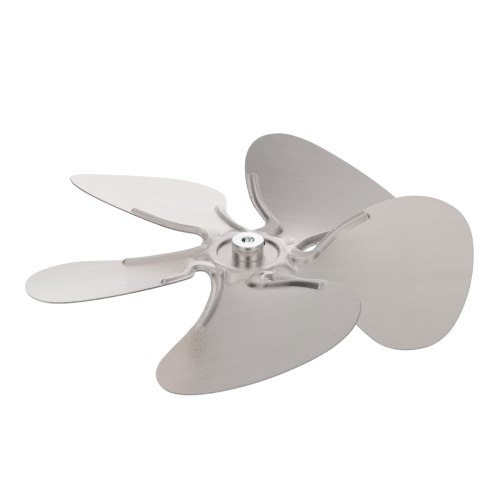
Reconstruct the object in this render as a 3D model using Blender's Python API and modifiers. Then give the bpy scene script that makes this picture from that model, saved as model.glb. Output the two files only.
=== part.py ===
# Five-blade fan wheel: one stamped sheet of aluminium with a turned hub staked
# into its centre and a socket set screw in the hub's side.
# The wheel's axis is Z, the hub's open end looks up, and z = 0 is the top face
# of the flat disc between the blades. Lengths below are millimetres.
import math

import bmesh
import bpy
import numpy as np
from mathutils.geometry import delaunay_2d_cdt

MM = 0.001
GAP = 0.3                      # clearance kept between touching pieces

# ---- the stamped wheel ----
BLADES = 5
FIRST_BLADE = -86.0            # azimuth of the first blade's centre line, degrees
SHEET = 1.0                    # sheet thickness
PITCH_SLOPE = 0.371            # rise across the blade per mm of chord (20.4 degrees)
CAMBER_RADIUS = 580.0          # the blade's section is a shallow arc, hollow side up
TWIST_START = 28.0             # radius where the blade begins to leave the disc
TWIST_LENGTH = 25.0            # distance over which the pitch grows
MID_RISE = 0.5                 # height of the blade's centre line outside the twist
PANEL_DROP = 3.9               # the blade panel starts this far below the disc
STEP_IN, STEP_OUT = 26.0, 33.0 # the disc curves down between these radii, and down a wider
STEP_WIDE, STEP_MID, STEP_SPREAD = 8.0, -22.0, 18.0   # step halfway between two ribs: how
                               # much wider, its direction and its spread, degrees

# Outline of a blade, u outwards along its centre line, v across it towards its
# raised edge. First the lowered edge outwards, then the tip, then the raised
# edge back in. The notches between the blades close the outline.
LOWERED = [(38, -27.5), (52, -31.4), (66, -37.3), (80, -47.0), (91, -56.2),
           (102, -63.6), (114, -66.0), (126, -63.4), (136, -57.2),
           (143.5, -46.5), (148.5, -32.0)]
TIP = [(151.7, -13.0), (152.2, 6.0), (150.0, 25.5)]
RAISED = [(145.3, 40.0), (136.0, 51.8), (121, 58.8), (105, 59.9), (88, 55.5),
          (72, 46.6), (59, 36.2), (50.5, 26.8)]
NOTCH_CENTRE = (38.7, 15.2)    # beside the raised edge of a blade
NOTCH_RADIUS = 5.1
NOTCH_AXIS = 60.0              # direction in which the notch opens, degrees

# The line halfway between two blades follows the notch: radius, and how far the
# blade's middle line leans there, degrees. Two blades meet across MEETING, degrees at
# a radius, which is never wider than the gap.
MIDDLE = [(40.0, -14.2), (44.0, -11.5), (50.0, -6.0), (58.0, -1.7), (70.0, 1.0),
          (90.0, 1.3), (110.0, -0.2), (130.0, -1.5), (150.0, -1.7)]
MEETING = [(45.0, 14.0), (60.0, 6.0)]

# Half-round ribs that hug both edges of a blade and run on round the notches.
RIB_HEIGHT = 3.0
RIB_HALF, RIB_TAPER = 4.1, 0.8 # half of a rib's width, and how much narrower its end is
RIB_SHAPE = 1.4                # 1 is a plain arch with a crease at its foot, more is softer
RIB_CAP = 1.25                 # how much shorter a rib's end is than its half width
RIB_INSET = 4.5                # from the notch's edge to the rib's crest
RIB_END_LOWERED = (76.5, -36.5)
RIB_END_RAISED = (74.4, 40.0)

# Flat land that joins the ribs to the disc round a notch: its width, the direction from
# the notch's centre where it is widest, and its flat and fading spread each way, degrees.
LAND, LAND_AXIS = 5.8, -145.0
LAND_RAISED, LAND_LOWERED = (56.0, 54.0), (5.0, 75.0)

# Round recess about the hub.
DISH_RIM, DISH_FLOOR, DISH_DEPTH = 22.6, 20.2, 2.2

# ---- the hub ----
HUB_R = 10.9
HUB_TOP = 9.0                  # above the disc's face
SPIGOT_R = 8.6                 # neck that passes through the sheet
STAKE_R = 10.1                 # its end, spread behind the sheet
STAKE_THICK = 1.6
BORE_R = 3.97
BORE_CHAMFER = 0.65
HUB_CHAMFER = 0.45

# ---- the set screw ----
SCREW_R = 2.2
SCREW_HOLE_R = SCREW_R + GAP
SCREW_AZ = 23.0
SCREW_Z = 4.0
SCREW_OUT, SCREW_IN = 12.1, 4.6   # distances of its ends from the axis
SOCKET_AF, SOCKET_DEPTH = 2.0, 2.2

for ob in list(bpy.data.objects):
    bpy.data.objects.remove(ob, do_unlink=True)


def collection(name):
    col = bpy.data.collections.new(name)
    bpy.context.scene.collection.children.link(col)
    return col


WHEEL = collection("five_blade_fan_wheel")
CUTTERS = collection("cutters")


def material(name, rgb, rough, metallic):
    m = bpy.data.materials.new(name)
    m.use_nodes = True
    b = m.node_tree.nodes["Principled BSDF"]
    b.inputs["Base Color"].default_value = (*rgb, 1)
    b.inputs["Roughness"].default_value = rough
    b.inputs["Metallic"].default_value = metallic
    m.diffuse_color = (*rgb, 1)
    return m


SHEET_METAL = material("rolled_aluminium", (0.78, 0.72, 0.69), 0.30, 1.0)
TURNED_METAL = material("turned_metal", (0.80, 0.79, 0.76), 0.22, 1.0)
BLACK_STEEL = material("black_steel", (0.03, 0.03, 0.035), 0.45, 0.9)


# ---- plan geometry ----
def arc(cx, cy, r, a0, a1, n):
    return [(cx + r * math.cos(math.radians(a0 + (a1 - a0) * i / n)),
             cy + r * math.sin(math.radians(a0 + (a1 - a0) * i / n)))
            for i in range(n + 1)]


def turned(pts, degrees):
    a = math.radians(degrees)
    p = np.asarray(pts, float)
    return np.stack([p[..., 0] * math.cos(a) - p[..., 1] * math.sin(a),
                     p[..., 0] * math.sin(a) + p[..., 1] * math.cos(a)], -1)


def curve_through(pts, per):
    """Catmull-Rom curve through the points, per samples a span."""
    p = np.asarray(pts, float)
    p = np.vstack([2 * p[0] - p[1], p, 2 * p[-1] - p[-2]])
    out = []
    for i in range(1, len(p) - 2):
        t = np.arange(per)[:, None] / per
        a, b, c, d = p[i - 1], p[i], p[i + 1], p[i + 2]
        out.append(0.5 * (2 * b + (c - a) * t + (2 * a - 5 * b + 4 * c - d) * t ** 2
                          + (3 * b - a - 3 * c + d) * t ** 3))
    out.append(p[-2][None])
    return np.vstack(out)


def sector_outline():
    """One blade from the bottom of the notch on its lowered side to the next."""
    step = 360.0 / BLADES
    low_c = turned([NOTCH_CENTRE], -step)[0]
    low = arc(low_c[0], low_c[1], NOTCH_RADIUS, NOTCH_AXIS + 180 - step,
              NOTCH_AXIS + 90 - step, 6)
    high = arc(NOTCH_CENTRE[0], NOTCH_CENTRE[1], NOTCH_RADIUS, NOTCH_AXIS - 90,
               NOTCH_AXIS - 180, 6)
    return curve_through(low + LOWERED + TIP + RAISED + high, 16)


def lengths(p):
    return np.r_[0, np.cumsum(np.hypot(*np.diff(p, axis=0).T))]


FINE = sector_outline()
FINE_S = lengths(FINE)
TOTAL = FINE_S[-1]


def at_length(s):
    return np.stack([np.interp(s, FINE_S, FINE[:, 0]), np.interp(s, FINE_S, FINE[:, 1])], -1)


def nearest(pts, line, s_line):
    """Distance of each point to a polyline and the length along it."""
    pts = np.asarray(pts, float).reshape(-1, 2)
    a, b = line[:-1], line[1:]
    ab = b - a
    ll = np.maximum((ab ** 2).sum(1), 1e-12)
    dist = np.empty(len(pts))
    pos = np.empty(len(pts))
    for i in range(0, len(pts), 400):
        q = pts[i:i + 400, None] - a[None]
        t = np.clip((q * ab[None]).sum(2) / ll, 0, 1)
        d2 = ((q - t[..., None] * ab[None]) ** 2).sum(2)
        k = d2.argmin(1)
        j = np.arange(len(k))
        dist[i:i + 400] = np.sqrt(d2[j, k])
        pos[i:i + 400] = s_line[k] + t[j, k] * np.sqrt(ll[k])
    return dist, pos


(END_LOW_D, END_HIGH_D), (END_LOW_S, END_HIGH_S) = nearest(
    [RIB_END_LOWERED, RIB_END_RAISED], FINE, FINE_S)

# The same blade's outline with a stretch of each neighbour's, for distances.
LAP = 90.0
BEFORE = FINE_S > TOTAL - LAP
AFTER = FINE_S < LAP
LINE = np.vstack([turned(FINE[BEFORE], -360.0 / BLADES)[:-1], FINE,
                  turned(FINE[AFTER], 360.0 / BLADES)[1:]])
LINE_S = np.r_[FINE_S[BEFORE][:-1] - TOTAL, FINE_S, FINE_S[AFTER][1:] + TOTAL]


def smoothstep(x):
    x = np.clip(x, 0, 1)
    return x * x * (3 - 2 * x)


def rib_line(s):
    """Inset of a rib's crest from the edge, how far past the rib's end s is, and the
    rib's half width."""
    s = np.asarray(s, float)
    low = np.where(s < TOTAL / 2, s, s - TOTAL)      # length past the notch
    along = np.where(low >= 0, low / END_LOW_S, -low / (TOTAL - END_HIGH_S))
    end = np.where(low >= 0, END_LOW_D, END_HIGH_D)
    inset = RIB_INSET + (end - RIB_INSET) * np.clip(along, 0, 1)
    past = np.where(low >= 0, low - END_LOW_S, -low - (TOTAL - END_HIGH_S))
    return inset, np.maximum(past, 0), RIB_HALF - RIB_TAPER * smoothstep(along)


def land_width(uv):
    """How far a rib's crest is widened into flat land, round the nearer notch."""
    out = np.zeros(len(uv))
    for step in (0, -360.0 / BLADES):
        rel = uv - turned([NOTCH_CENTRE], step)
        a = np.degrees(np.arctan2(rel[:, 1], rel[:, 0])) - LAND_AXIS - step
        a = (a + 180) % 360 - 180
        fade = np.where(a > 0, smoothstep((a - LAND_RAISED[0]) / LAND_RAISED[1]),
                        smoothstep((-a - LAND_LOWERED[0]) / LAND_LOWERED[1]))
        out = np.maximum(out, smoothstep((30 - np.hypot(*rel.T)) / 8) * LAND * (1 - fade))
    return out


def height(uv):
    """Top face of the sheet over a point given in a blade's own u and v."""
    uv = np.asarray(uv, float).reshape(-1, 2)
    u, v = uv[:, 0], uv[:, 1]
    r = np.hypot(u, v)
    q = 1.5 * np.logaddexp(0, (r - TWIST_START) / 1.5)
    t = (1 - np.exp(-q / TWIST_LENGTH)) * smoothstep((r - DISH_RIM) / 7)
    base = t * (MID_RISE + PITCH_SLOPE * v + v * v / (2 * CAMBER_RADIUS)) - PANEL_DROP * (1 - t)
    spread = smoothstep(1 - np.abs(np.degrees(np.arctan2(v, u)) - STEP_MID) / STEP_SPREAD)
    disc = PANEL_DROP * (1 - smoothstep((r - STEP_IN) / (STEP_OUT - STEP_IN + STEP_WIDE * spread)))
    d, s = nearest(uv, LINE, LINE_S)
    inset, past, half = rib_line(np.mod(s, TOTAL))
    off = np.where(d > inset, np.maximum(d - inset - land_width(uv), 0), inset - d)
    x = np.hypot(off, past * RIB_CAP) / half
    rib = RIB_HEIGHT * np.clip(1 - x * x, 0, 1) ** RIB_SHAPE
    z = base + (disc ** 6 + rib ** 6) ** (1 / 6)
    dish = DISH_DEPTH * (1 - smoothstep((r - DISH_FLOOR) / (DISH_RIM - DISH_FLOOR)))
    return z - dish


def inside(pts, poly):
    x, y = pts[:, 0], pts[:, 1]
    res = np.zeros(len(pts), bool)
    j = len(poly) - 1
    for i in range(len(poly)):
        xi, yi = poly[i]
        xj, yj = poly[j]
        if yi != yj:
            hit = ((yi > y) != (yj > y)) & (x < (xj - xi) * (y - yi) / (yj - yi) + xi)
            res ^= hit
        j = i
    return res


def blade_angle(loc):
    """Angle from the blade's middle line, which bends to follow the notches beside it."""
    la = np.degrees(np.arctan2(loc[:, 1], loc[:, 0]))
    r = np.hypot(*loc.T)
    mid = np.interp(r, [m[0] for m in MIDDLE], [m[1] for m in MIDDLE])
    return np.abs((la - mid + 180) % 360 - 180)


def wheel_height(xy):
    """Top face of the whole wheel; neighbouring blades meet smoothly under a notch."""
    step = 360.0 / BLADES
    z = np.zeros(len(xy))
    width = np.interp(np.hypot(*xy.T), [m[0] for m in MEETING], [m[1] for m in MEETING])
    for k in range(BLADES):
        loc = turned(xy, -step * k)
        share = smoothstep(0.5 + (step / 2 - blade_angle(loc)) / width)
        near = share > 0
        z[near] += share[near] * height(loc[near])
    return z


def sheet_surface(edge_step, notch_step, rib_rows, rib_step, disc_rings, disc_points, grid):
    """Plan points, then a triangulation bounded by the outline and the hub hole."""
    step = 360.0 / BLADES
    # outline of one blade: short steps along notches and ribs, longer at the tip
    reach = 20.0
    s = [0.0]
    while s[-1] < TOTAL:
        near = min(s[-1], TOTAL - s[-1])
        s.append(s[-1] + (notch_step if near < reach else rib_step if near < 62 else edge_step))
    s = np.array(s[:-1]) * (TOTAL / s[-1])
    verts, edges = [], []

    def add(line, closed=False):
        i0 = len(verts)
        verts.extend(map(tuple, line))
        n = len(line)
        edges.extend((i0 + i, i0 + i + 1) for i in range(n - 1))
        if closed:
            edges.append((i0 + n - 1, i0))

    ring = np.vstack([turned(at_length(s), step * k) for k in range(BLADES)])
    add(ring, True)
    # rows along the ribs, from one rib's end round the notch to the other's
    low, high = -(TOTAL - END_HIGH_S) - RIB_HALF, END_LOW_S + RIB_HALF
    tangent = np.gradient(LINE, axis=0)
    tangent /= np.hypot(*tangent.T)[:, None]
    normal = np.stack([-tangent[:, 1], tangent[:, 0]], 1)
    for f in rib_rows:
        pos, here = [], low
        while here <= high:
            pos.append(here)
            here += notch_step if abs(here) < reach else rib_step
        pos = np.array(pos)
        inset, _, half = rib_line(np.mod(pos, TOTAL))
        base = np.stack([np.interp(pos, LINE_S, LINE[:, i]) for i in (0, 1)], 1)
        nn = np.stack([np.interp(pos, LINE_S, normal[:, i]) for i in (0, 1)], 1)
        nn /= np.hypot(*nn.T)[:, None]
        off = inset + f * half
        if f > 0:                  # follow the rib's foot round the flat land
            for _ in range(3):
                off = inset + f * half + land_width(base + nn * off[:, None])
        row = base + nn * off[:, None]
        clear = np.hypot(*row.T) > disc_rings[-1] + 0.8
        parts = np.split(np.arange(len(row)), np.flatnonzero(np.diff(clear.astype(int))) + 1)
        for part in parts:
            for k in range(BLADES if clear[part[0]] else 0):
                add(turned(row[part], step * k))
    for r in (STEP_IN + 4.5, STEP_OUT + 0.5, STEP_OUT + 4):   # the step between two ribs
        for k in range(BLADES):
            verts.extend(map(tuple, turned(arc(0, 0, r, -27, -17, 3), step * k)))
    n = BLADES * disc_points
    for r in disc_rings:
        add(arc(0, 0, r, 0, 360, n)[:-1], True)
    fixed = np.array(verts)
    # loose points between those lines, the same in every blade, closer at the root
    closed_fine = np.vstack([turned(FINE, step * k)[:-1] for k in range(BLADES)])
    for space, r0, r1 in ((grid * 0.35, disc_rings[-1] + 1.2, 52), (grid, 52, 153)):
        row_h = space * math.sqrt(3) / 2
        xs = np.array([(i * space + (j % 2) * space / 2, j * row_h)
                       for j in range(int(-75 / row_h), int(75 / row_h) + 1)
                       for i in range(int(170 / space) + 1)])
        r = np.hypot(*xs.T)
        xs = xs[(r > r0) & (r <= r1) & inside(xs, closed_fine)]
        near_line = np.array([np.hypot(*(fixed - p).T).min() for p in xs])
        d, _ = nearest(xs, LINE, LINE_S)
        xs = xs[(near_line > space * 0.5) & (d > space * 0.45)]
        # keep the part of the root that is nearer to this blade than to the next
        r = np.hypot(*xs.T)
        xs = xs[(r > 52) | (blade_angle(xs) < step / 2 - 1)]
        for k in range(BLADES):
            verts.extend(map(tuple, turned(xs, step * k)))
    vo, _, fo, *_ = delaunay_2d_cdt([tuple(v) for v in verts], edges, [], 0, 1e-5)
    vo = np.array([(v[0], v[1]) for v in vo])
    fo = np.array([f for f in fo if len(f) == 3])
    mid = vo[fo].mean(1)
    keep = inside(mid, ring) & (np.hypot(*mid.T) > disc_rings[0] * math.cos(math.pi / n))
    fo = fo[keep]
    a = vo[fo]
    e1, e2 = a[:, 1] - a[:, 0], a[:, 2] - a[:, 0]
    turn_over = e1[:, 0] * e2[:, 1] - e1[:, 1] * e2[:, 0] < 0
    fo[turn_over] = fo[turn_over][:, ::-1]
    used = np.unique(fo)
    remap = -np.ones(len(vo), int)
    remap[used] = np.arange(len(used))
    vo, fo = vo[used], remap[fo]
    return vo, wheel_height(vo), fo


def mesh_object(name, verts, faces, mat, col=WHEEL):
    me = bpy.data.meshes.new(name)
    me.from_pydata([tuple(v) for v in verts], [], [tuple(int(i) for i in f) for f in faces])
    me.update()
    ob = bpy.data.objects.new(name, me)
    me.materials.append(mat)
    col.objects.link(ob)
    return ob


# ---- blade wheel ----
HOLE_R = SPIGOT_R + GAP
xy, z, tri = sheet_surface(
    edge_step=7.0, notch_step=2.2, rib_rows=(-0.55, 0.0, 0.06, 0.6, 1.0), rib_step=3.8,
    disc_rings=(HOLE_R, DISH_FLOOR, (DISH_FLOOR + DISH_RIM) / 2, DISH_RIM, 25.5),
    disc_points=14, grid=11.0)
xy = turned(xy, FIRST_BLADE)
wheel = mesh_object("blade_wheel", np.column_stack([xy, z]) * MM, tri, SHEET_METAL)
thick = wheel.modifiers.new("sheet", "SOLIDIFY")
thick.thickness = SHEET * MM
thick.offset = -1
thick.use_even_offset = True
wheel.data.shade_smooth()
wheel.data.set_sharp_from_angle(angle=math.radians(40))


# ---- hub: one turned profile, its neck staked behind the sheet ----
def turned_object(name, profile, mat, steps, closed=True):
    """profile: (radius, z) pairs, running down the outer side first."""
    n = len(profile)
    me = bpy.data.meshes.new(name)
    me.from_pydata([(r * MM, 0, h * MM) for r, h in profile],
                   [(i, (i + 1) % n) for i in range(n if closed else n - 1)], [])
    ob = bpy.data.objects.new(name, me)
    me.materials.append(mat)
    WHEEL.objects.link(ob)
    m = ob.modifiers.new("turn", "SCREW")
    m.steps = m.render_steps = steps
    m.angle = 2 * math.pi
    m.use_merge_vertices = True
    m.merge_threshold = 0.00001
    m.use_smooth_shade = True
    return ob


floor_z = -DISH_DEPTH
back_z = floor_z - SHEET
profile = [
    (HUB_R - HUB_CHAMFER, HUB_TOP), (HUB_R, HUB_TOP - HUB_CHAMFER),
    (HUB_R, floor_z + GAP + 0.2), (HUB_R - 0.2, floor_z + GAP),
    (SPIGOT_R, floor_z + GAP), (SPIGOT_R, back_z - GAP),
    (STAKE_R, back_z - GAP), (STAKE_R - 0.2, back_z - GAP - STAKE_THICK * 0.6),
    (SPIGOT_R + 0.1, back_z - GAP - STAKE_THICK),
    (BORE_R + BORE_CHAMFER, back_z - GAP - STAKE_THICK),
    (BORE_R, back_z - GAP - STAKE_THICK + BORE_CHAMFER),
    (BORE_R, HUB_TOP - BORE_CHAMFER), (BORE_R + BORE_CHAMFER, HUB_TOP),
]
hub = turned_object("hub", profile, TURNED_METAL, 48)


def cylinder(name, radius, length, centre, az, col, mat=None, n=24):
    bm = bmesh.new()
    bmesh.ops.create_cone(bm, cap_ends=True, segments=n, radius1=radius * MM,
                          radius2=radius * MM, depth=length * MM)
    me = bpy.data.meshes.new(name)
    bm.to_mesh(me)
    bm.free()
    ob = bpy.data.objects.new(name, me)
    ob.location = [c * MM for c in centre]
    ob.rotation_euler = (0, math.radians(90), math.radians(az))
    col.objects.link(ob)
    if mat:
        me.materials.append(mat)
    return ob


def cut(ob, cutter):
    cutter.hide_render = True
    cutter.display_type = "WIRE"
    m = ob.modifiers.new("cut", "BOOLEAN")
    m.operation = "DIFFERENCE"
    m.solver = "EXACT"
    m.object = cutter


ca, sa = math.cos(math.radians(SCREW_AZ)), math.sin(math.radians(SCREW_AZ))
cut(hub, cylinder("screw_hole_cutter", SCREW_HOLE_R, 14.0,
                  (9.0 * ca, 9.0 * sa, SCREW_Z), SCREW_AZ, CUTTERS))

# ---- set screw: a threadless body with a chamfered end and a hexagon socket ----
mid = (SCREW_OUT + SCREW_IN) / 2
bm = bmesh.new()
bmesh.ops.create_cone(bm, cap_ends=True, segments=24, radius1=SCREW_R * MM,
                      radius2=SCREW_R * MM, depth=(SCREW_OUT - SCREW_IN) * MM)
rims = [e for e in bm.edges if abs(e.verts[0].co.z - e.verts[1].co.z) < 1e-9]
bmesh.ops.bevel(bm, geom=rims, offset=0.3 * MM, segments=1, affect="EDGES")
me = bpy.data.meshes.new("set_screw")
bm.to_mesh(me)
bm.free()
screw = bpy.data.objects.new("set_screw", me)
me.materials.append(BLACK_STEEL)
screw.location = (mid * ca * MM, mid * sa * MM, SCREW_Z * MM)
screw.rotation_euler = (0, math.radians(90), math.radians(SCREW_AZ))
WHEEL.objects.link(screw)
screw.data.shade_smooth()
screw.data.set_sharp_from_angle(angle=math.radians(35))
at = SCREW_OUT - SOCKET_DEPTH / 2 + 0.5
cut(screw, cylinder("socket_cutter", SOCKET_AF / math.sqrt(3), SOCKET_DEPTH + 1.0,
                    (at * ca, at * sa, SCREW_Z), SCREW_AZ, CUTTERS, n=6))
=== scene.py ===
# Looks of a five-blade fan wheel stamped from one aluminium sheet, with a turned
# hub staked into its centre and a black set screw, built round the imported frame.
import math

import bmesh
import bpy
import numpy as np
from mathutils import Matrix, Vector
from mathutils.geometry import delaunay_2d_cdt
from mathutils.kdtree import KDTree


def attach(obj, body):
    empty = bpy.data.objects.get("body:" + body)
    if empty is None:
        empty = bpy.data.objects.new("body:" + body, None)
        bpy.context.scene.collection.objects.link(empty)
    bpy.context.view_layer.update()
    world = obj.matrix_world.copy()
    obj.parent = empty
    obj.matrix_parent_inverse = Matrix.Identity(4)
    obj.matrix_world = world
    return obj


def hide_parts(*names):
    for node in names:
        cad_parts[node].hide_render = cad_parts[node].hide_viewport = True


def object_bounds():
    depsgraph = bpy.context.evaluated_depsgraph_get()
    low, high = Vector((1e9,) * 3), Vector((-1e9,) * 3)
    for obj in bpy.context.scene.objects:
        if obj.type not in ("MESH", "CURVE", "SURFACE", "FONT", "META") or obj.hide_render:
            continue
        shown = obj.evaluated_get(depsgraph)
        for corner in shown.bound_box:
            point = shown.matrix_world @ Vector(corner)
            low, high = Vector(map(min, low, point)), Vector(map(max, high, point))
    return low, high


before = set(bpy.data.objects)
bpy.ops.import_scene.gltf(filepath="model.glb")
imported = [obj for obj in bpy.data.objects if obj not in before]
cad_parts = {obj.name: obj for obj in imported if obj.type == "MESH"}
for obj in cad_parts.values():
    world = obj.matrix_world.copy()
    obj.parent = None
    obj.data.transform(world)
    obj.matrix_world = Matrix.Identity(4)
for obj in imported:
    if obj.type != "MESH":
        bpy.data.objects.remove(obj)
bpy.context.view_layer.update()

MM = 0.001

# ---------------------------------------------------------------- camera
TIP_R = 0.1524                 # the blades' tips lie on this circle, metres
FOCAL = 1418.9                 # in pixels of a 500 x 500 picture
DISTANCE, ELEVATION = 6.3603, 0.5193   # in tip radii, radians
AIM = (0.0094, 0.0100)         # in tip radii
ROLL, TURN = -0.0037, math.radians(-0.243)

turn = Matrix.Rotation(TURN, 3, "Z")
eye = Vector((0, -DISTANCE * math.cos(ELEVATION), DISTANCE * math.sin(ELEVATION))) * TIP_R
look = (Vector((AIM[0], AIM[1], 0)) * TIP_R - eye).normalized()
side = look.cross(Vector((0, 0, 1))).normalized()
up = side.cross(look)
side, up = (side * math.cos(ROLL) + up * math.sin(ROLL),
            up * math.cos(ROLL) - side * math.sin(ROLL))
eye, look, side, up = turn @ eye, turn @ look, turn @ side, turn @ up
cam = bpy.data.objects.new("camera", bpy.data.cameras.new("camera"))
bpy.context.scene.collection.objects.link(cam)
cam.matrix_world = Matrix(((side.x, up.x, -look.x, eye.x), (side.y, up.y, -look.y, eye.y),
                           (side.z, up.z, -look.z, eye.z), (0, 0, 0, 1)))
cam.data.sensor_width = 36
cam.data.lens = FOCAL / 500 * 36
cam.data.clip_start, cam.data.clip_end = 0.01, 50
bpy.context.scene.camera = cam

# ---------------------------------------------------------------- design, millimetres
BLADES = 5
FIRST_BLADE = -86.0            # azimuth of the first blade's centre line, degrees
SHEET = 1.0
PITCH_SLOPE = 0.371            # rise across the blade per mm of chord
CAMBER_RADIUS = 580.0
TWIST_START, TWIST_LENGTH = 28.0, 25.0
MID_RISE = 0.5
PANEL_DROP = 3.9               # the blade panel starts this far below the disc
STEP_IN, STEP_OUT = 26.0, 33.0 # the disc curves down between these radii
STEP_WIDE, STEP_MID, STEP_SPREAD = 8.0, -22.0, 18.0   # wider by this halfway between two ribs
LOWERED = [(38, -27.5), (52, -31.4), (66, -37.3), (80, -47.0), (91, -56.2),
           (102, -63.6), (114, -66.0), (126, -63.4), (136, -57.2),
           (143.5, -46.5), (148.5, -32.0)]
TIP = [(151.7, -13.0), (152.2, 6.0), (150.0, 25.5)]
RAISED = [(145.3, 40.0), (136.0, 51.8), (121, 58.8), (105, 59.9), (88, 55.5),
          (72, 46.6), (59, 36.2), (50.5, 26.8)]
NOTCH_CENTRE = (38.7, 15.2)
NOTCH_RADIUS = 5.1
NOTCH_AXIS = 60.0
MIDDLE = [(40.0, -14.2), (44.0, -11.5), (50.0, -6.0), (58.0, -1.7), (70.0, 1.0),
          (90.0, 1.3), (110.0, -0.2), (130.0, -1.5), (150.0, -1.7)]
MEETING = [(45.0, 14.0), (60.0, 6.0)]
RIB_HEIGHT, RIB_HALF, RIB_TAPER, RIB_INSET = 3.0, 4.1, 0.8, 4.5
RIB_SHAPE = 1.4                # 1 is a plain arch with a crease at its foot, more is softer
LAND, LAND_AXIS = 5.8, -145.0  # flat land between a notch and the disc: width, direction
LAND_RAISED, LAND_LOWERED = (56.0, 54.0), (5.0, 75.0)   # flat and fading, degrees, each way
RIB_END_LOWERED = (76.1, -36.2)
RIB_END_RAISED = (73.95, 39.75)
DISH_RIM, DISH_FLOOR, DISH_DEPTH = 22.6, 20.2, 2.2
DISH_FOOT, DISH_LIP, DISH_WALL = 0.6, 1.35, 60.0      # bend radii and slope of its wall
HUB_R, HUB_TOP = 10.9, 9.0
BORE_R, BORE_CHAMFER, HUB_CHAMFER = 3.97, 0.65, 0.45
SPIGOT_R, STAKE_R, STAKE_THICK = 8.6, 10.1, 1.6
SCREW_R, SCREW_AZ, SCREW_Z = 2.2, 23.0, 4.0
SCREW_OUT, SCREW_IN = 12.1, 4.6
SOCKET_AF, SOCKET_DEPTH = 2.0, 2.2
GAP = 0.3                      # the frame keeps this clearance behind the sheet
EDGE_ROUND = 0.3               # the sheared edge of the sheet is eased by this radius
SIDE_MARK, FACE_MARK = 0.012, 0.009    # depth of the feed marks on the hub


# ---------------------------------------------------------------- plan geometry
def arc(cx, cy, r, a0, a1, n):
    return [(cx + r * math.cos(math.radians(a0 + (a1 - a0) * i / n)),
             cy + r * math.sin(math.radians(a0 + (a1 - a0) * i / n)))
            for i in range(n + 1)]


def turned(pts, degrees):
    a = math.radians(degrees)
    p = np.asarray(pts, float)
    return np.stack([p[..., 0] * math.cos(a) - p[..., 1] * math.sin(a),
                     p[..., 0] * math.sin(a) + p[..., 1] * math.cos(a)], -1)


def curve_through(pts, per):
    p = np.asarray(pts, float)      # the first and the last only give the ends' direction
    out = []
    for i in range(1, len(p) - 2):
        t = np.arange(per)[:, None] / per
        a, b, c, d = p[i - 1], p[i], p[i + 1], p[i + 2]
        out.append(0.5 * (2 * b + (c - a) * t + (2 * a - 5 * b + 4 * c - d) * t ** 2
                          + (3 * b - a - 3 * c + d) * t ** 3))
    out.append(p[-2][None])
    return np.vstack(out)


STEP = 360.0 / BLADES


def sector_outline():
    low_c = turned([NOTCH_CENTRE], -STEP)[0]
    low = arc(low_c[0], low_c[1], NOTCH_RADIUS, NOTCH_AXIS + 180 - STEP,
              NOTCH_AXIS + 90 - STEP, 24)
    high = arc(NOTCH_CENTRE[0], NOTCH_CENTRE[1], NOTCH_RADIUS, NOTCH_AXIS - 90,
               NOTCH_AXIS - 180, 24)
    edge = curve_through([low[-5], low[-1]] + LOWERED + TIP + RAISED + [high[0], high[4]], 24)
    return np.vstack([low[:-1], edge, high[1:]])


def lengths(p):
    return np.r_[0, np.cumsum(np.hypot(*np.diff(p, axis=0).T))]


FINE = sector_outline()
FINE_S = lengths(FINE)
TOTAL = FINE_S[-1]
LAP = 90.0
LINE = np.vstack([turned(FINE[FINE_S > TOTAL - LAP], -STEP)[:-1], FINE,
                  turned(FINE[FINE_S < LAP], STEP)[1:]])
LINE_S = np.r_[FINE_S[FINE_S > TOTAL - LAP][:-1] - TOTAL, FINE_S,
               FINE_S[FINE_S < LAP][1:] + TOTAL]
TREE = KDTree(len(LINE))
for i, p in enumerate(LINE):
    TREE.insert((p[0], p[1], 0), i)
TREE.balance()


def nearest(pts):
    """Distance of each point to the blade's outline and the length along it."""
    pts = np.asarray(pts, float).reshape(-1, 2)
    k = np.array([TREE.find((x, y, 0))[1] for x, y in pts])
    best = np.full(len(pts), 1e9)
    pos = np.zeros(len(pts))
    for shift in (-2, -1, 0, 1):
        j = np.clip(k + shift, 0, len(LINE) - 2)
        a = LINE[j]
        ab = LINE[j + 1] - a
        ll = np.maximum((ab ** 2).sum(1), 1e-12)
        t = np.clip(((pts - a) * ab).sum(1) / ll, 0, 1)
        d = np.hypot(*(pts - a - t[:, None] * ab).T)
        hit = d < best
        best[hit] = d[hit]
        pos[hit] = (LINE_S[j] + t * np.sqrt(ll))[hit]
    return best, pos


(END_LOW_D, END_HIGH_D), (END_LOW_S, END_HIGH_S) = nearest([RIB_END_LOWERED, RIB_END_RAISED])


def rib_line(s):
    """Inset of a rib's crest from the edge, how far past the rib's end s is, and the
    rib's half width."""
    s = np.asarray(s, float)
    low = np.where(s < TOTAL / 2, s, s - TOTAL)
    inset = np.where(low >= 0, RIB_INSET + (END_LOW_D - RIB_INSET) * np.clip(low / END_LOW_S, 0, 1),
                     RIB_INSET + (END_HIGH_D - RIB_INSET) * np.clip(-low / (TOTAL - END_HIGH_S), 0, 1))
    past = np.where(low >= 0, low - END_LOW_S, -low - (TOTAL - END_HIGH_S))
    along = np.where(low >= 0, low / END_LOW_S, -low / (TOTAL - END_HIGH_S))
    return inset, np.maximum(past, 0), RIB_HALF - RIB_TAPER * smoothstep(along)


def smoothstep(x):
    x = np.clip(x, 0, 1)
    return x * x * (3 - 2 * x)


def land_width(uv):
    """How far a rib's crest is widened into flat land, round the nearer notch."""
    out = np.zeros(len(uv))
    for step in (0, -STEP):
        rel = uv - turned([NOTCH_CENTRE], step)
        a = np.degrees(np.arctan2(rel[:, 1], rel[:, 0])) - LAND_AXIS - step
        a = (a + 180) % 360 - 180
        fade = np.where(a > 0, smoothstep((a - LAND_RAISED[0]) / LAND_RAISED[1]),
                        smoothstep((-a - LAND_LOWERED[0]) / LAND_LOWERED[1]))
        out = np.maximum(out, smoothstep((30 - np.hypot(*rel.T)) / 8) * LAND * (1 - fade))
    return out


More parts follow.
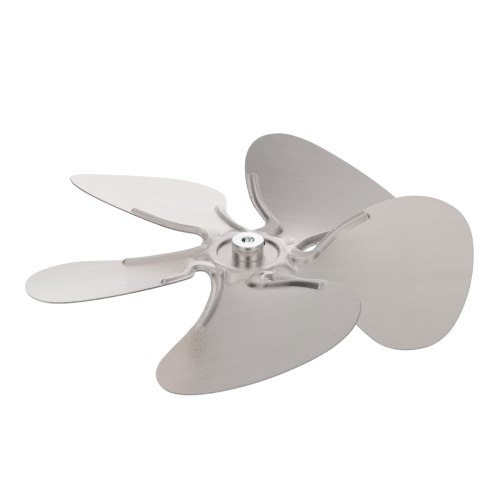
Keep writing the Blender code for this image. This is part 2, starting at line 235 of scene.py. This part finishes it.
def recess(x):
    """Height above the recess's floor, x out from its wall's foot: arc, straight, arc."""
    a = math.radians(DISH_WALL)
    x0 = DISH_FOOT * math.sin(a)
    x1 = x0 + (DISH_DEPTH - (DISH_FOOT + DISH_LIP) * (1 - math.cos(a))) / math.tan(a)
    x2 = x1 + DISH_LIP * math.sin(a)
    x = np.clip(x, 0, x2)
    foot = DISH_FOOT - np.sqrt(np.maximum(DISH_FOOT ** 2 - x * x, 0))
    wall = DISH_FOOT * (1 - math.cos(a)) + (x - x0) * math.tan(a)
    lip = DISH_DEPTH - DISH_LIP + np.sqrt(np.maximum(DISH_LIP ** 2 - (x2 - x) ** 2, 0))
    return np.where(x < x0, foot, np.where(x < x1, wall, lip))


def height(uv):
    """Top face of the sheet over a point given in a blade's own u and v."""
    u, v = uv[:, 0], uv[:, 1]
    r = np.hypot(u, v)
    q = 1.5 * np.logaddexp(0, (r - TWIST_START) / 1.5)
    t = (1 - np.exp(-q / TWIST_LENGTH)) * smoothstep((r - DISH_RIM) / 7)
    base = t * (MID_RISE + PITCH_SLOPE * v + v * v / (2 * CAMBER_RADIUS)) - PANEL_DROP * (1 - t)
    spread = smoothstep(1 - np.abs(np.degrees(np.arctan2(v, u)) - STEP_MID) / STEP_SPREAD)
    disc = PANEL_DROP * (1 - smoothstep((r - STEP_IN) / (STEP_OUT - STEP_IN + STEP_WIDE * spread)))
    d, s = nearest(uv)
    inset, past, half = rib_line(np.mod(s, TOTAL))
    off = np.where(d > inset, np.maximum(d - inset - land_width(uv), 0), inset - d)
    beyond = np.minimum(np.hypot(*(uv - RIB_END_LOWERED).T), np.hypot(*(uv - RIB_END_RAISED).T))
    x = np.where(past > 0, beyond, off) / half         # each rib ends in a round cap
    rib = RIB_HEIGHT * np.clip(1 - x * x, 0, 1) ** RIB_SHAPE
    z = base + (disc ** 6 + rib ** 6) ** (1 / 6)
    return z - DISH_DEPTH + recess(r - DISH_FLOOR)


def blade_angle(loc):
    la = np.degrees(np.arctan2(loc[:, 1], loc[:, 0]))
    mid = np.interp(np.hypot(*loc.T), [m[0] for m in MIDDLE], [m[1] for m in MIDDLE])
    return np.abs((la - mid + 180) % 360 - 180)


def wheel_height(xy):
    z = np.zeros(len(xy))
    width = np.interp(np.hypot(*xy.T), [m[0] for m in MEETING], [m[1] for m in MEETING])
    for k in range(BLADES):
        loc = turned(xy, -STEP * k)
        share = smoothstep(0.5 + (STEP / 2 - blade_angle(loc)) / width)
        near = share > 0
        z[near] += share[near] * height(loc[near])
    return z


def wheel_normal(xy, h=0.05):
    z = wheel_height(np.vstack([xy + [h, 0], xy - [h, 0], xy + [0, h], xy - [0, h]])).reshape(4, -1)
    n = np.stack([(z[1] - z[0]) / (2 * h), (z[3] - z[2]) / (2 * h), np.ones(len(xy))], 1)
    return n / np.linalg.norm(n, axis=1)[:, None]


def inside(pts, poly):
    x, y = pts[:, 0], pts[:, 1]
    res = np.zeros(len(pts), bool)
    j = len(poly) - 1
    for i in range(len(poly)):
        (xi, yi), (xj, yj) = poly[i], poly[j]
        if yi != yj:
            res ^= ((yi > y) != (yj > y)) & (x < (xj - xi) * (y - yi) / (yj - yi) + xi)
        j = i
    return res


# ---------------------------------------------------------------- the sheet
def sheet_mesh(name):
    tangent = np.gradient(LINE, axis=0)
    tangent /= np.hypot(*tangent.T)[:, None]
    inward = np.stack([-tangent[:, 1], tangent[:, 0]], 1)

    def on_line(pos, off):
        base = np.stack([np.interp(pos, LINE_S, LINE[:, i]) for i in (0, 1)], 1)
        nn = np.stack([np.interp(pos, LINE_S, inward[:, i]) for i in (0, 1)], 1)
        nn /= np.hypot(*nn.T)[:, None]
        return base + nn * np.reshape(off, (-1, 1)), nn

    # stations round one blade, closer together in the notches
    s = [0.0]
    while s[-1] < TOTAL:
        near = min(s[-1], TOTAL - s[-1])
        s.append(s[-1] + (0.6 if near < 22 else 1.1 if near < 70 else 1.7))
    s = np.array(s[:-1]) * (TOTAL / s[-1])
    rim, rim_in = on_line(s, 0.0)
    whole = np.vstack([turned(rim, STEP * k) for k in range(BLADES)])
    whole_in = np.vstack([turned(rim_in, STEP * k) for k in range(BLADES)])
    ring = whole + whole_in * EDGE_ROUND
    verts, edges = [], []

    def add(line, closed=False):
        i0 = len(verts)
        verts.extend(map(tuple, line))
        edges.extend((i0 + i, i0 + i + 1) for i in range(len(line) - 1))
        if closed:
            edges.append((i0 + len(line) - 1, i0))

    add(ring, True)
    low, high = -(TOTAL - END_HIGH_S) - RIB_HALF * 1.2, END_LOW_S + RIB_HALF * 1.2
    for f in (-0.9, -0.75, -0.6, -0.45, -0.3, -0.15, 0.0, 0.15, 0.3, 0.45, 0.6, 0.74, 0.86, 0.94,
              1.0, 1.08, 1.22, 1.4):
        pos, here = [], low
        while here <= high:
            pos.append(here)
            gap = (0.25 if f > 0 else 0.6) if abs(here) < 14 else 0.7 if abs(here) < 24 else 1.2
            here += min(gap, 0.35) if min(here - low, high - here) < 7 else gap
        pos = np.array(pos)
        inset, _, half = rib_line(np.mod(pos, TOTAL))
        off = inset + f * half
        if f > 0:                  # follow the foot of the rib round the flat land
            for _ in range(3):
                off = inset + f * half + land_width(on_line(pos, off)[0])
        ok = off > EDGE_ROUND + 0.35
        row = on_line(pos[ok], off[ok])[0]
        row = row[np.hypot(*row.T) > 25.6]
        for k in range(BLADES):
            verts.extend(map(tuple, turned(row, STEP * k)))
    n = BLADES * 32
    hole = SPIGOT_R - 0.1
    for r in (hole, 14.0, 19.4, 20.0, 20.2, 20.32, 20.44, 20.56, 20.68, 20.8, 20.95, 21.15, 21.35,
              21.45, 21.6, 21.75, 21.9, 22.05, 22.2, 22.4, 22.6, 22.9, 23.6, 25.0):
        add(arc(0, 0, r, 0, 360, n)[:-1], True)
    fixed = KDTree(len(verts))
    for i, p in enumerate(verts):
        fixed.insert((p[0], p[1], 0), i)
    fixed.balance()
    closed = whole[::3]
    for grid, r0, r1 in ((0.65, 25.3, 37.0), (0.9, 37.0, 50.0), (1.5, 50.0, 66.0), (3.4, 66.0, 153.0)):
        row_h = grid * math.sqrt(3) / 2
        xs = np.array([(i * grid + (j % 2) * grid / 2, j * row_h)
                       for j in range(int(-75 / row_h), int(75 / row_h) + 1)
                       for i in range(int(170 / grid) + 1)])
        r = np.hypot(*xs.T)
        xs = xs[(r > r0) & (r < r1) & inside(xs, closed)]
        far = np.array([fixed.find((x, y, 0))[2] for x, y in xs])
        d, _ = nearest(xs)
        xs = xs[(far > grid * 0.5) & (d > grid * 0.5)]
        xs = xs[blade_angle(xs) < STEP / 2 - 0.5]
        for k in range(BLADES):
            verts.extend(map(tuple, turned(xs, STEP * k)))
    vo, _, fo, *_ = delaunay_2d_cdt([tuple(v) for v in verts], edges, [], 0, 1e-5)
    vo = np.array([(v[0], v[1]) for v in vo])
    fo = np.array([f for f in fo if len(f) == 3])
    mid = vo[fo].mean(1)
    fo = fo[inside(mid, ring) & (np.hypot(*mid.T) > hole * math.cos(math.pi / n))]
    e1, e2 = vo[fo[:, 1]] - vo[fo[:, 0]], vo[fo[:, 2]] - vo[fo[:, 0]]
    over = e1[:, 0] * e2[:, 1] - e1[:, 1] * e2[:, 0] < 0
    fo[over] = fo[over][:, ::-1]
    used = np.unique(fo)
    remap = -np.ones(len(vo), int)
    remap[used] = np.arange(len(used))
    vo, fo = vo[used], remap[fo]

    # the two faces of the sheet, offset along the surface's own normal
    m = len(vo)
    z = wheel_height(vo)
    nor = wheel_normal(vo)
    top = np.column_stack([vo, z])
    bottom = top - nor * SHEET
    faces = [tuple(f) for f in fo] + [tuple(f[::-1] + m) for f in fo]
    points, normals = [top, bottom], [nor, -nor]
    # eased edge round the outline, as rows of quads
    tree = KDTree(m)
    for i, p in enumerate(vo):
        tree.insert((p[0], p[1], 0), i)
    tree.balance()
    first = np.array([tree.find((x, y, 0))[1] for x, y in ring])
    rn = nor[first]
    out = np.column_stack([-whole_in, np.zeros(len(ring))])
    out -= (out * rn).sum(1)[:, None] * rn
    out /= np.linalg.norm(out, axis=1)[:, None]
    count = 2 * m
    rows = [first]
    for depth_at, angles in ((0.0, (60, 30, 0)), (SHEET, (0, 30, 60))):
        for a in angles:
            ca, sa = math.cos(math.radians(a)), math.sin(math.radians(a))
            face = 1 if depth_at == 0.0 else -1
            depth = EDGE_ROUND * (1 - sa)
            where = top[first] + out * EDGE_ROUND * ca - rn * (depth if face > 0 else SHEET - depth)
            points.append(where)
            normals.append(out * ca + rn * sa * face)
            rows.append(np.arange(len(ring)) + count)
            count += len(ring)
    rows.append(first + m)
    # the edge rows take the darker edge material, painted shade that outlines the sheet
    cut = np.zeros(len(faces), int)
    for k, (a, b) in enumerate(zip(rows[:-1], rows[1:])):
        for i in range(len(ring)):
            j = (i + 1) % len(ring)
            faces.append((a[j], a[i], b[i], b[j]))
        cut = np.r_[cut, np.full(len(ring), int(0 < k < len(rows) - 2))]
    # the hole for the hub
    hole_pts = arc(0, 0, hole, 0, 360, n)[:-1]
    at = [tree.find((x, y, 0))[1] for x, y in hole_pts]
    for i in range(n):
        j = (i + 1) % n
        faces.append((at[i], at[j], at[j] + m, at[i] + m))
    cut = np.r_[cut, np.ones(n, int)]
    p = np.vstack(points)
    nn = np.vstack(normals)
    p[:, :2] = turned(p[:, :2], FIRST_BLADE)
    nn[:, :2] = turned(nn[:, :2], FIRST_BLADE)
    me = bpy.data.meshes.new(name)
    me.from_pydata(p * MM, [], [tuple(int(i) for i in f) for f in faces])
    me.update()
    me.shade_smooth()
    me.normals_split_custom_set_from_vertices([tuple(v) for v in nn])
    me.materials.append(SHEET_METAL)
    me.materials.append(EDGE_PAINTED_SHADE)
    me.polygons.foreach_set("material_index", [int(c) for c in cut])
    ob = bpy.data.objects.new(name, me)
    bpy.context.scene.collection.objects.link(ob)
    return ob


# ---------------------------------------------------------------- materials
def new_material(name, rgb, rough, metallic=1.0):
    m = bpy.data.materials.new(name)
    m.use_nodes = True
    b = m.node_tree.nodes["Principled BSDF"]
    b.inputs["Base Color"].default_value = (*rgb, 1)
    b.inputs["Roughness"].default_value = rough
    b.inputs["Metallic"].default_value = metallic
    return m, m.node_tree, b


def math_node(tree, op, a, b=None, c=None):
    n = tree.nodes.new("ShaderNodeMath")
    n.operation = op
    for i, v in enumerate((a, b, c)):
        if v is None:
            continue
        if isinstance(v, (int, float)):
            n.inputs[i].default_value = v
        else:
            tree.links.new(v, n.inputs[i])
    return n.outputs[0]


def noise(tree, per_metre, detail=2.0, rough=0.5, distortion=0.0, turn_z=0.0):
    """3-D noise in the piece's own coordinates, with this many waves a metre each way."""
    coord = tree.nodes.new("ShaderNodeTexCoord")
    mapping = tree.nodes.new("ShaderNodeMapping")
    mapping.vector_type = "POINT"
    mapping.inputs["Rotation"].default_value = (0, 0, turn_z)
    mapping.inputs["Scale"].default_value = per_metre
    n = tree.nodes.new("ShaderNodeTexNoise")
    n.inputs["Scale"].default_value = 1.0
    n.inputs["Detail"].default_value = detail
    n.inputs["Roughness"].default_value = rough
    n.inputs["Distortion"].default_value = distortion
    tree.links.new(coord.outputs["Object"], mapping.inputs["Vector"])
    tree.links.new(mapping.outputs[0], n.inputs["Vector"])
    return n.outputs["Fac"]


def ranged(tree, value, a, b, lo, hi):
    n = tree.nodes.new("ShaderNodeMapRange")
    for name, v in (("From Min", a), ("From Max", b), ("To Min", lo), ("To Max", hi)):
        n.inputs[name].default_value = v
    tree.links.new(value, n.inputs["Value"])
    return n.outputs["Result"]


def two_tone(tree, bsdf, factor, dark, light):
    """Mix from dark, a colour or a socket, to light; becomes the base colour."""
    n = tree.nodes.new("ShaderNodeMix")
    n.data_type = "RGBA"
    sockets = [i for i in n.inputs if i.type == "RGBA"]
    if isinstance(dark, tuple):
        sockets[0].default_value = (*dark, 1)
    else:
        tree.links.new(dark, sockets[0])
    sockets[1].default_value = (*light, 1)
    tree.links.new(factor, n.inputs["Factor"])
    out = [o for o in n.outputs if o.type == "RGBA"][0]
    tree.links.new(out, bsdf.inputs["Base Color"])
    return out


def bump(tree, bsdf, height, depth):
    n = tree.nodes.new("ShaderNodeBump")
    n.inputs["Strength"].default_value = 1.0
    n.inputs["Distance"].default_value = depth
    tree.links.new(height, n.inputs["Height"])
    tree.links.new(n.outputs[0], bsdf.inputs["Normal"])


# Rolled sheet: a fine grain and broader bands run one way across the whole blank,
# with cloudy handling marks over them.
SHEET_METAL, tree_s, bsdf_s = new_material("rolled_aluminium_satin", (0.78, 0.72, 0.69), 0.18)
grain = noise(tree_s, (16, 900, 300), 3.0, 0.6)
bands = noise(tree_s, (5, 95, 60), 3.0, 0.6)
cloud = noise(tree_s, (17, 22, 17), 4.0, 0.55, 0.5)
tone = math_node(tree_s, "MULTIPLY_ADD", bands, 0.45, math_node(tree_s, "MULTIPLY_ADD", grain, 0.2, math_node(tree_s, "MULTIPLY", cloud, 0.5)))
metal = two_tone(tree_s, bsdf_s, ranged(tree_s, tone, 0.40, 0.76, 0.0, 1.0), (0.745, 0.685, 0.65), (0.815, 0.755, 0.725))
stain = noise(tree_s, (26, 13, 20), 3.0, 0.5, 0.3, 0.6)
two_tone(tree_s, bsdf_s, ranged(tree_s, stain, 0.48, 0.72, 0.0, 0.55), metal, (0.735, 0.715, 0.66))
tree_s.links.new(math_node(tree_s, "ADD", ranged(tree_s, cloud, 0.3, 0.7, 0.25, 0.30), ranged(tree_s, grain, 0.3, 0.7, -0.015, 0.03)), bsdf_s.inputs["Roughness"])
bump(tree_s, bsdf_s, math_node(tree_s, "MULTIPLY_ADD", grain, 0.12, bands), 0.00002)

# Sheared edge: the cut metal is rougher, with fine streaks across the thickness; its base colour is also darkened well
# below the sheet's, painted shade that draws the edges as dark lines.
EDGE_PAINTED_SHADE, tree_e, bsdf_e = new_material("sheared_aluminium_edge_painted_shade", (0.38, 0.35, 0.33), 0.38)
streaks = noise(tree_e, (900, 900, 40), 3.0, 0.6)
# dark base colours: the streaks are real, the overall darkness is painted shade along the edge
two_tone(tree_e, bsdf_e, ranged(tree_e, streaks, 0.3, 0.7, 0.0, 1.0), (0.27, 0.25, 0.235), (0.50, 0.47, 0.45))
tree_e.links.new(ranged(tree_e, streaks, 0.3, 0.7, 0.3, 0.45), bsdf_e.inputs["Roughness"])
bump(tree_e, bsdf_e, streaks, 0.00001)

# Turned bar: bright, with the lathe's fine rings and a few dark specks.
TURNED_METAL, tree_t, bsdf_t = new_material("turned_aluminium_bright", (0.93, 0.92, 0.90), 0.18)
bsdf_t.inputs["Anisotropic"].default_value = 0.45
around = tree_t.nodes.new("ShaderNodeTangent")
around.direction_type, around.axis = "RADIAL", "Z"
tree_t.links.new(around.outputs[0], bsdf_t.inputs["Tangent"])
specks = noise(tree_t, (900, 900, 900), 2.0, 0.6)
haze = noise(tree_t, (160, 160, 420), 3.0, 0.5)
clean = math_node(tree_t, "MULTIPLY", ranged(tree_t, specks, 0.27, 0.33, 0.0, 1.0), ranged(tree_t, haze, 0.25, 0.65, 0.9, 1.0))
two_tone(tree_t, bsdf_t, clean, (0.35, 0.33, 0.30), (0.975, 0.97, 0.955))
tree_t.links.new(ranged(tree_t, haze, 0.3, 0.7, 0.07, 0.14), bsdf_t.inputs["Roughness"])
bump(tree_t, bsdf_t, specks, 0.000004)

# Black oxide: near black, with slightly browner worn patches.
BLACK_STEEL, tree_b, bsdf_b = new_material("black_oxide_steel", (0.03, 0.03, 0.035), 0.4, 0.9)
worn = noise(tree_b, (700, 700, 700), 4.0, 0.6)
two_tone(tree_b, bsdf_b, ranged(tree_b, worn, 0.35, 0.75, 0.0, 1.0), (0.018, 0.018, 0.022), (0.075, 0.068, 0.062))
tree_b.links.new(ranged(tree_b, worn, 0.3, 0.7, 0.33, 0.5), bsdf_b.inputs["Roughness"])
bump(tree_b, bsdf_b, worn, 0.000006)

sheet = sheet_mesh("stamped_wheel")

# ---------------------------------------------------------------- hub and set screw
def rounded(profile, ease, steps=3):
    """Profile (r, z, ease?) with its marked corners turned into short arcs."""
    out = []
    n = len(profile)
    for i, (r, z, soft) in enumerate(profile):
        p = np.array([r, z])
        if not soft:
            out.append(tuple(p))
            continue
        a = np.array(profile[i - 1][:2]) - p
        b = np.array(profile[(i + 1) % n][:2]) - p
        la, lb = np.hypot(*a), np.hypot(*b)
        cut = min(ease, la * 0.45, lb * 0.45)
        a, b = p + a / la * cut, p + b / lb * cut
        for k in range(steps + 1):
            t = k / steps
            out.append(tuple((1 - t) ** 2 * a + 2 * t * (1 - t) * p + t * t * b))
    return out


def lathe(name, profile, steps, material):
    """A closed profile of (r, z), down the outer side first, turned about Z."""
    n = len(profile)
    me = bpy.data.meshes.new(name)
    me.from_pydata([(r * MM, 0, z * MM) for r, z in profile], [(i, (i + 1) % n) for i in range(n)], [])
    ob = bpy.data.objects.new(name, me)
    me.materials.append(material)
    bpy.context.scene.collection.objects.link(ob)
    m = ob.modifiers.new("turn", "SCREW")
    m.steps = m.render_steps = steps
    m.angle = 2 * math.pi
    m.use_merge_vertices = True
    m.merge_threshold = 0.000001
    m.use_smooth_shade = True
    return ob


floor_z = -DISH_DEPTH
back_z = floor_z - SHEET


def tool_marks(a, b, pitch, depth):
    """Points from a to b (r, z) with shallow feed marks cut into the metal between."""
    a, b = np.array(a, float), np.array(b, float)
    length = np.hypot(*(b - a))
    n = max(2, int(round(length / pitch)))
    along = (b - a) / length
    into = np.array([along[1], -along[0]])      # towards the metal, right of the path
    out = []
    for i in range(n):
        bite = depth * (0.55 + 0.45 * math.sin(i * 1.7) * math.sin(i * 0.61 + 1.0))
        t0 = a + (b - a) * (i + 0.15) / n
        t1 = a + (b - a) * (i + 0.65) / n
        out += [(*t0, False), (*(t1 + into * bite), False)]
    return out


top_r0, top_r1 = HUB_R - HUB_CHAMFER, BORE_R + BORE_CHAMFER
profile = [(HUB_R - HUB_CHAMFER, HUB_TOP, True), (HUB_R, HUB_TOP - HUB_CHAMFER, True)]
profile += tool_marks((HUB_R, HUB_TOP - HUB_CHAMFER - 0.15), (HUB_R, floor_z + 0.55), 0.26, SIDE_MARK)
profile += [(HUB_R, floor_z + 0.45, False), (HUB_R - 0.25, floor_z + 0.02, True),
            (SPIGOT_R, floor_z + 0.02, False), (SPIGOT_R, back_z - 0.02, False),
            (STAKE_R - 0.25, back_z - 0.02, True), (STAKE_R, back_z - 0.35, True),
            (STAKE_R - 0.25, back_z - 0.95, True), (SPIGOT_R + 0.1, back_z - GAP - STAKE_THICK, True)]
profile += tool_marks((SPIGOT_R - 0.2, back_z - GAP - STAKE_THICK), (BORE_R + BORE_CHAMFER + 0.2, back_z - GAP - STAKE_THICK), 0.3, 0.008)
profile += [(BORE_R + BORE_CHAMFER, back_z - GAP - STAKE_THICK, True),
            (BORE_R, back_z - GAP - STAKE_THICK + BORE_CHAMFER, True),
            (BORE_R, HUB_TOP - BORE_CHAMFER, True), (BORE_R + BORE_CHAMFER, HUB_TOP, True)]
profile += tool_marks((top_r1 + 0.2, HUB_TOP), (top_r0 - 0.2, HUB_TOP), 0.3, FACE_MARK)
hub = lathe("turned_hub", rounded(profile, 0.12), 144, TURNED_METAL)

ca, sa = math.cos(math.radians(SCREW_AZ)), math.sin(math.radians(SCREW_AZ))
drill_me = bpy.data.meshes.new("tapped_hole")
bm = bmesh.new()
bmesh.ops.create_cone(bm, cap_ends=True, segments=48, radius1=(SCREW_R + 0.06) * MM,
                      radius2=(SCREW_R + 0.06) * MM, depth=14 * MM)
bm.to_mesh(drill_me)
bm.free()
drill = bpy.data.objects.new("tapped_hole", drill_me)
drill.location = (9 * ca * MM, 9 * sa * MM, SCREW_Z * MM)
drill.rotation_euler = (0, math.radians(90), math.radians(SCREW_AZ))
bpy.context.scene.collection.objects.link(drill)
drill.hide_render = True
m = hub.modifiers.new("cross_hole", "BOOLEAN")
m.operation, m.solver, m.object = "DIFFERENCE", "EXACT", drill


def set_screw_mesh(name):
    """Threaded body along X, hexagon socket at the outer end, cup point inside."""
    pitch, deep, around = 0.79, 0.34, 48
    length = SCREW_OUT - SCREW_IN
    rows = int(length / (pitch / 8))
    verts, faces = [], []
    for i in range(rows + 1):
        x = length * i / rows
        for k in range(around):
            a = 2 * math.pi * k / around
            phase = (x / pitch - k / around) % 1.0
            groove = deep * max(0.0, min(1.0, 1.25 - abs(phase - 0.5) * 5.0 + 0.6)) if abs(phase - 0.5) < 0.37 else 0.0
            r = SCREW_R - groove
            r = min(r, SCREW_R - 0.62 + min(x, 2.0) * 1.1, SCREW_R - 0.42 + (length - x) * 1.1)
            verts.append((SCREW_IN + x, r * math.cos(a), r * math.sin(a)))
    for i in range(rows):
        for k in range(around):
            j = (k + 1) % around
            faces.append((i * around + k, i * around + j, (i + 1) * around + j, (i + 1) * around + k))

    def ring(x, radius_at):
        i0 = len(verts)
        for k in range(around):
            a = 2 * math.pi * k / around
            r = radius_at(a)
            verts.append((x, r * math.cos(a), r * math.sin(a)))
        return i0

    def hexagon(a):
        b = (a + math.pi / 6) % (math.pi / 3) - math.pi / 6
        return SOCKET_AF / 2 / math.cos(b)

    def bridge(i0, i1):
        for k in range(around):
            j = (k + 1) % around
            faces.append((i0 + k, i0 + j, i1 + j, i1 + k))

    last = rows * around
    a0 = ring(SCREW_OUT, lambda a: hexagon(a) + 0.10)
    bridge(last, a0)
    a1 = ring(SCREW_OUT - 0.10, hexagon)
    bridge(a0, a1)
    a2 = ring(SCREW_OUT - SOCKET_DEPTH, hexagon)
    bridge(a1, a2)
    verts.append((SCREW_OUT - SOCKET_DEPTH - 0.45, 0, 0))
    faces.extend((a2 + k, a2 + (k + 1) % around, len(verts) - 1) for k in range(around))
    b0 = ring(SCREW_IN, lambda a: 1.25)
    bridge(b0, 0)
    b1 = ring(SCREW_IN + 0.45, lambda a: 0.35)
    bridge(b1, b0)
    verts.append((SCREW_IN + 0.5, 0, 0))
    faces.extend((b1 + (k + 1) % around, b1 + k, len(verts) - 1) for k in range(around))
    me = bpy.data.meshes.new(name)
    me.from_pydata([(x * MM, y * MM, z * MM) for x, y, z in verts], [], faces)
    bm = bmesh.new()
    bm.from_mesh(me)
    bmesh.ops.recalc_face_normals(bm, faces=bm.faces)
    bm.to_mesh(me)
    bm.free()
    me.shade_smooth()
    me.set_sharp_from_angle(angle=math.radians(38))
    ob = bpy.data.objects.new(name, me)
    bpy.context.scene.collection.objects.link(ob)
    return ob


screw = set_screw_mesh("socket_set_screw")
screw.data.materials.append(BLACK_STEEL)
screw.location = (0, 0, SCREW_Z * MM)
screw.rotation_euler = (0, 0, math.radians(SCREW_AZ))

for piece, node, slot in ((sheet, "blade_wheel", "rolled_aluminium"),
                          (hub, "hub", "turned_aluminium"), (screw, "set_screw", "black_steel")):
    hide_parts(node)
    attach(piece, "root")

# ---------------------------------------------------------------- floor and light
low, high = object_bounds()
floor_me = bpy.data.meshes.new("floor")
bm = bmesh.new()
bmesh.ops.create_grid(bm, x_segments=1, y_segments=1, size=6.0)
bm.to_mesh(floor_me)
bm.free()
floor = bpy.data.objects.new("floor", floor_me)
floor.location.z = low.z - 0.0002
bpy.context.scene.collection.objects.link(floor)
# A white floor, cut out in the picture; what the metal mirrors of it is dimmer in the
# shadow below the wheel.
FLOOR_MAT, tree_f, bsdf_f = new_material("floor_white", (0.12, 0.12, 0.12), 0.9, 0.0)
bsdf_f.inputs["Emission Color"].default_value = (0.95, 0.98, 1.01, 1)
away = tree_f.nodes.new("ShaderNodeVectorMath")
away.operation = "LENGTH"
tree_f.links.new(tree_f.nodes.new("ShaderNodeTexCoord").outputs["Object"], away.inputs[0])
shade = ranged(tree_f, away.outputs["Value"], 0.10, 0.24, 0.87, 0.96)
straight = tree_f.nodes.new("ShaderNodeLightPath").outputs["Is Camera Ray"]
tree_f.links.new(math_node(tree_f, "MAXIMUM", shade, straight), bsdf_f.inputs["Emission Strength"])
floor_me.materials.append(FLOOR_MAT)

# A light tent: an even glow, a lit backdrop behind the wheel, soft boxes, and dark
# screens at the left and right. Azimuth and elevation in degrees, how narrow the
# lobe is, and its strength; a screen's is negative.
AMBIENT = 0.57
BACKDROP = [(80, 8, 9, 0.5), (80, 30, 40, 0.33)]
TENT = [(148, 66, 14, 0.34), (10, 62, 12, 0.18),      # overhead, left and right
        (227, 30, 25, 0.32), (315, 30, 25, 0.3),      # in front, left and right
        (180, 0, 7, -0.52), (157, 18, 25, -0.28), (185, 30, 25, -0.4),    # screens, left
        (8, 5, 8, -0.6), (42, 48, 20, -0.33), (345, 30, 25, -0.16),       # and right
        (110, 45, 22, -0.2), (270, 30, 25, -0.65)]    # above the backdrop, round the camera
world = bpy.data.worlds.new("studio")
bpy.context.scene.world = world
world.use_nodes = True
nt = world.node_tree
nt.nodes.clear()
direction = nt.nodes.new("ShaderNodeTexCoord").outputs["Generated"]


def glow(total, lobes, colour):
    for az, el, narrow, strength in lobes:
        az, el = math.radians(az), math.radians(el)
        dot = nt.nodes.new("ShaderNodeVectorMath")
        dot.operation = "DOT_PRODUCT"
        nt.links.new(direction, dot.inputs[0])
        dot.inputs[1].default_value = (math.cos(el) * math.cos(az), math.cos(el) * math.sin(az), math.sin(el))
        lobe = math_node(nt, "EXPONENT", math_node(nt, "MULTIPLY_ADD", dot.outputs["Value"], float(narrow), -float(narrow)))
        total = math_node(nt, "MULTIPLY_ADD", lobe, float(strength), total)
    total = math_node(nt, "MAXIMUM", total, 0.015)
    n = nt.nodes.new("ShaderNodeBackground")
    n.inputs["Color"].default_value = (*colour, 1)
    nt.links.new(total, n.inputs["Strength"])
    return n.outputs[0]


tent = nt.nodes.new("ShaderNodeAddShader")
nt.links.new(glow(AMBIENT, TENT, (1, 1, 1)), tent.inputs[0])
nt.links.new(glow(0.0, BACKDROP, (0.95, 1.0, 1.06)), tent.inputs[1])
plain = nt.nodes.new("ShaderNodeBackground")
plain.inputs["Color"].default_value = (1, 1, 1, 1)
seen = nt.nodes.new("ShaderNodeLightPath")
mix = nt.nodes.new("ShaderNodeMixShader")
nt.links.new(seen.outputs["Is Camera Ray"], mix.inputs["Fac"])
nt.links.new(tent.outputs[0], mix.inputs[1])
nt.links.new(plain.outputs[0], mix.inputs[2])
end = nt.nodes.new("ShaderNodeOutputWorld")
nt.links.new(mix.outputs[0], end.inputs["Surface"])
bpy.context.scene.view_settings.view_transform = "Standard"
